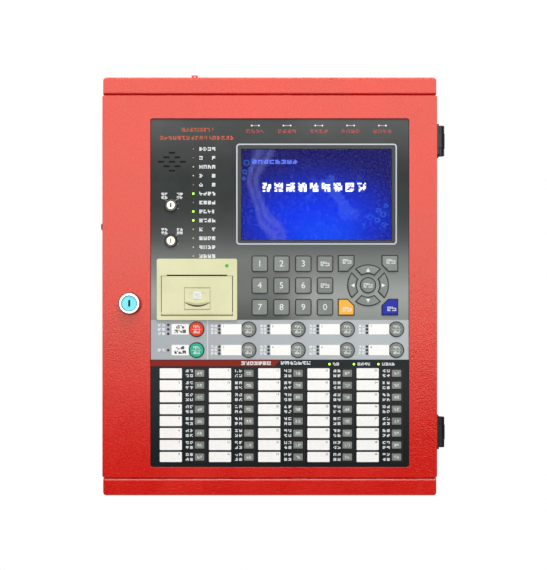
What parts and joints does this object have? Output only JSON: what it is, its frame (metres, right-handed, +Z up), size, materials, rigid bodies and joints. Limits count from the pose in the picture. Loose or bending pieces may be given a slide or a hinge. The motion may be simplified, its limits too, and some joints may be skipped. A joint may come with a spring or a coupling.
{
  "type": "fire alarm control panel",
  "caption": "Wall-mounted steel cabinet with a hinged door carrying a screen, keypad, cursor keys, panel printer, output buttons and a grid of labelled zone keys.",
  "frame": {"origin": "centre of the cabinet's back face, on the wall", "axes": "+Z up, the door faces -Y, +X to the right as seen from the front; +Y points into the wall"},
  "size_m": [0.4275, 0.149, 0.5045],
  "materials": {
    "red_powder_coat": "fine orange-peel powder coat",
    "black_zinc": "satin black coat",
    "green_board": "solder mask",
    "green_plastic": "moulded",
    "galvanised_steel": "zinc plated",
    "battery_case": "moulded",
    "black_plastic": "moulded",
    "black_foam": "foamed",
    "slate_overlay": "printed satin overlay",
    "clear_window": "polished",
    "blue_screen": "lit display",
    "cream_plastic": "fine texture",
    "chromed_metal": "polished",
    "satin_metal": "satin",
    "led_lens": "diffused",
    "white_card": "paper under film",
    "white_paper": "thermal paper",
    "grey_key": "satin",
    "orange_key": "satin",
    "blue_key": "satin",
    "red_key": "satin",
    "green_key": "satin"
  },
  "bodies": {
    "cabinet": {"cabinet_shell": "red_powder_coat", "gland_plate": "red_powder_coat", "hinge_fixed_leaves": "black_zinc", "main_board": "green_board", "terminal_blocks": "green_plastic", "power_supply": "galvanised_steel", "batteries": "battery_case", "battery_bracket": "galvanised_steel", "cable_gland": "black_plastic"},
    "door": {"door_shell": "red_powder_coat", "door_gasket": "black_foam", "fascia_panel": "slate_overlay", "lcd_window": "clear_window", "lcd_module": "blue_screen", "display_board": "green_board", "printer_body": "cream_plastic", "speaker": "black_plastic", "key_switch_bodies": "chromed_metal", "cam_lock_body": "chromed_metal", "led_lenses": "led_lens", "label_cards": "white_card", "hinge_door_leaves": "black_zinc"},
    "paper_cover": {"printer_cover": "cream_plastic"},
    "cover_latch": {"printer_latch": "cream_plastic"},
    "paper_roll": {"paper_roll": "white_paper"},
    "key_switch_upper": {"key_switch_upper": "satin_metal"},
    "key_switch_lower": {"key_switch_lower": "satin_metal"},
    "cam_lock_plug": {"cam_lock_plug": "satin_metal"},
    "zone_keys": {"zone_keys": "grey_key"},
    "key_1": {"key_1": "grey_key"},
    "key_2": {"key_2": "grey_key"},
    "key_3": {"key_3": "grey_key"},
    "key_isolate": {"key_isolate": "grey_key"},
    "key_4": {"key_4": "grey_key"},
    "key_5": {"key_5": "grey_key"},
    "key_6": {"key_6": "grey_key"},
    "key_test": {"key_test": "grey_key"},
    "key_7": {"key_7": "grey_key"},
    "key_8": {"key_8": "grey_key"},
    "key_9": {"key_9": "grey_key"},
    "key_0": {"key_0": "grey_key"},
    "key_ok": {"key_ok": "grey_key"},
    "key_right": {"key_right": "grey_key"},
    "key_up": {"key_up": "grey_key"},
    "key_left": {"key_left": "grey_key"},
    "key_down": {"key_down": "grey_key"},
    "key_exit": {"key_exit": "grey_key"},
    "key_delete": {"key_delete": "grey_key"},
    "key_reset": {"key_reset": "orange_key"},
    "key_silence": {"key_silence": "blue_key"},
    "button_stop": {"button_stop": "red_key"},
    "button_start": {"button_start": "green_key"},
    "button_output_1": {"button_output_1": "grey_key"},
    "button_output_2": {"button_output_2": "grey_key"},
    "button_output_3": {"button_output_3": "grey_key"},
    "button_output_4": {"button_output_4": "grey_key"},
    "button_output_5": {"button_output_5": "grey_key"},
    "button_output_6": {"button_output_6": "grey_key"},
    "button_output_7": {"button_output_7": "grey_key"},
    "button_output_8": {"button_output_8": "grey_key"}
  },
  "joints": [
    {"name": "door_swing", "type": "hinge", "parent": "cabinet", "child": "door", "pos_m": [0.2065, -0.12, 0], "axis": [0, 0, 1], "range_deg": [0, 120]},
    {"name": "cover_swing", "type": "hinge", "parent": "door", "child": "paper_cover", "pos_m": [-0.0869, -0.139, -0.0321], "axis": [1, 0, 0], "range_deg": [0, 95]},
    {"name": "latch_lift", "type": "hinge", "parent": "paper_cover", "child": "cover_latch", "pos_m": [-0.0865, -0.1404, -0.003], "axis": [-1, 0, 0], "range_deg": [0, 30], "stiffness_Nm_per_rad": 0.01, "springref_deg": -17.19},
    {"name": "roll_spin", "type": "hinge", "parent": "door", "child": "paper_roll", "pos_m": [-0.0869, -0.1165, -0.0145], "axis": [1, 0, 0], "continuous": true},
    {"name": "upper_switch_turn", "type": "hinge", "parent": "door", "child": "key_switch_upper", "pos_m": [-0.1181, -0.138, 0.0971], "axis": [0, 1, 0], "range_deg": [0, 90]},
    {"name": "lower_switch_turn", "type": "hinge", "parent": "door", "child": "key_switch_lower", "pos_m": [-0.1181, -0.138, 0.0548], "axis": [0, 1, 0], "range_deg": [0, 90]},
    {"name": "lock_turn", "type": "hinge", "parent": "door", "child": "cam_lock_plug", "pos_m": [-0.1667, -0.14, -0.02], "axis": [0, 1, 0], "range_deg": [0, 90]},
    {"name": "key_1_press", "type": "slide", "parent": "door", "child": "key_1", "axis": [0, 1, 0], "range_m": [0, 0.0012], "stiffness_N_per_m": 400, "springref_m": -0.001},
    {"name": "key_2_press", "type": "slide", "parent": "door", "child": "key_2", "axis": [0, 1, 0], "range_m": [0, 0.0012], "stiffness_N_per_m": 400, "springref_m": -0.001},
    {"name": "key_3_press", "type": "slide", "parent": "door", "child": "key_3", "axis": [0, 1, 0], "range_m": [0, 0.0012], "stiffness_N_per_m": 400, "springref_m": -0.001},
    {"name": "key_isolate_press", "type": "slide", "parent": "door", "child": "key_isolate", "axis": [0, 1, 0], "range_m": [0, 0.0012], "stiffness_N_per_m": 400, "springref_m": -0.001},
    {"name": "key_4_press", "type": "slide", "parent": "door", "child": "key_4", "axis": [0, 1, 0], "range_m": [0, 0.0012], "stiffness_N_per_m": 400, "springref_m": -0.001},
    {"name": "key_5_press", "type": "slide", "parent": "door", "child": "key_5", "axis": [0, 1, 0], "range_m": [0, 0.0012], "stiffness_N_per_m": 400, "springref_m": -0.001},
    {"name": "key_6_press", "type": "slide", "parent": "door", "child": "key_6", "axis": [0, 1, 0], "range_m": [0, 0.0012], "stiffness_N_per_m": 400, "springref_m": -0.001},
    {"name": "key_test_press", "type": "slide", "parent": "door", "child": "key_test", "axis": [0, 1, 0], "range_m": [0, 0.0012], "stiffness_N_per_m": 400, "springref_m": -0.001},
    {"name": "key_7_press", "type": "slide", "parent": "door", "child": "key_7", "axis": [0, 1, 0], "range_m": [0, 0.0012], "stiffness_N_per_m": 400, "springref_m": -0.001},
    {"name": "key_8_press", "type": "slide", "parent": "door", "child": "key_8", "axis": [0, 1, 0], "range_m": [0, 0.0012], "stiffness_N_per_m": 400, "springref_m": -0.001},
    {"name": "key_9_press", "type": "slide", "parent": "door", "child": "key_9", "axis": [0, 1, 0], "range_m": [0, 0.0012], "stiffness_N_per_m": 400, "springref_m": -0.001},
    {"name": "key_0_press", "type": "slide", "parent": "door", "child": "key_0", "axis": [0, 1, 0], "range_m": [0, 0.0012], "stiffness_N_per_m": 400, "springref_m": -0.001},
    {"name": "key_ok_press", "type": "slide", "parent": "door", "child": "key_ok", "axis": [0, 1, 0], "range_m": [0, 0.0012], "stiffness_N_per_m": 400, "springref_m": -0.001},
    {"name": "key_right_press", "type": "slide", "parent": "door", "child": "key_right", "axis": [0, 1, 0], "range_m": [0, 0.0012], "stiffness_N_per_m": 400, "springref_m": -0.001},
    {"name": "key_up_press", "type": "slide", "parent": "door", "child": "key_up", "axis": [0, 1, 0], "range_m": [0, 0.0012], "stiffness_N_per_m": 400, "springref_m": -0.001},
    {"name": "key_left_press", "type": "slide", "parent": "door", "child": "key_left", "axis": [0, 1, 0], "range_m": [0, 0.0012], "stiffness_N_per_m": 400, "springref_m": -0.001},
    {"name": "key_down_press", "type": "slide", "parent": "door", "child": "key_down", "axis": [0, 1, 0], "range_m": [0, 0.0012], "stiffness_N_per_m": 400, "springref_m": -0.001},
    {"name": "key_exit_press", "type": "slide", "parent": "door", "child": "key_exit", "axis": [0, 1, 0], "range_m": [0, 0.0012], "stiffness_N_per_m": 400, "springref_m": -0.001},
    {"name": "key_delete_press", "type": "slide", "parent": "door", "child": "key_delete", "axis": [0, 1, 0], "range_m": [0, 0.0012], "stiffness_N_per_m": 400, "springref_m": -0.001},
    {"name": "key_reset_press", "type": "slide", "parent": "door", "child": "key_reset", "axis": [0, 1, 0], "range_m": [0, 0.0012], "stiffness_N_per_m": 400, "springref_m": -0.001},
    {"name": "key_silence_press", "type": "slide", "parent": "door", "child": "key_silence", "axis": [0, 1, 0], "range_m": [0, 0.0012], "stiffness_N_per_m": 400, "springref_m": -0.001},
    {"name": "button_stop_press", "type": "slide", "parent": "door", "child": "button_stop", "axis": [0, 1, 0], "range_m": [0, 0.0012], "stiffness_N_per_m": 400, "springref_m": -0.001},
    {"name": "button_start_press", "type": "slide", "parent": "door", "child": "button_start", "axis": [0, 1, 0], "range_m": [0, 0.0012], "stiffness_N_per_m": 400, "springref_m": -0.001},
    {"name": "button_output_1_press", "type": "slide", "parent": "door", "child": "button_output_1", "axis": [0, 1, 0], "range_m": [0, 0.0012], "stiffness_N_per_m": 400, "springref_m": -0.001},
    {"name": "button_output_2_press", "type": "slide", "parent": "door", "child": "button_output_2", "axis": [0, 1, 0], "range_m": [0, 0.0012], "stiffness_N_per_m": 400, "springref_m": -0.001},
    {"name": "button_output_3_press", "type": "slide", "parent": "door", "child": "button_output_3", "axis": [0, 1, 0], "range_m": [0, 0.0012], "stiffness_N_per_m": 400, "springref_m": -0.001},
    {"name": "button_output_4_press", "type": "slide", "parent": "door", "child": "button_output_4", "axis": [0, 1, 0], "range_m": [0, 0.0012], "stiffness_N_per_m": 400, "springref_m": -0.001},
    {"name": "button_output_5_press", "type": "slide", "parent": "door", "child": "button_output_5", "axis": [0, 1, 0], "range_m": [0, 0.0012], "stiffness_N_per_m": 400, "springref_m": -0.001},
    {"name": "button_output_6_press", "type": "slide", "parent": "door", "child": "button_output_6", "axis": [0, 1, 0], "range_m": [0, 0.0012], "stiffness_N_per_m": 400, "springref_m": -0.001},
    {"name": "button_output_7_press", "type": "slide", "parent": "door", "child": "button_output_7", "axis": [0, 1, 0], "range_m": [0, 0.0012], "stiffness_N_per_m": 400, "springref_m": -0.001},
    {"name": "button_output_8_press", "type": "slide", "parent": "door", "child": "button_output_8", "axis": [0, 1, 0], "range_m": [0, 0.0012], "stiffness_N_per_m": 400, "springref_m": -0.001},
    {"name": "zone_keys_press", "type": "slide", "parent": "door", "child": "zone_keys", "axis": [0, 1, 0], "range_m": [0, 0.0012], "stiffness_N_per_m": 1200, "springref_m": -0.001}
  ]
}
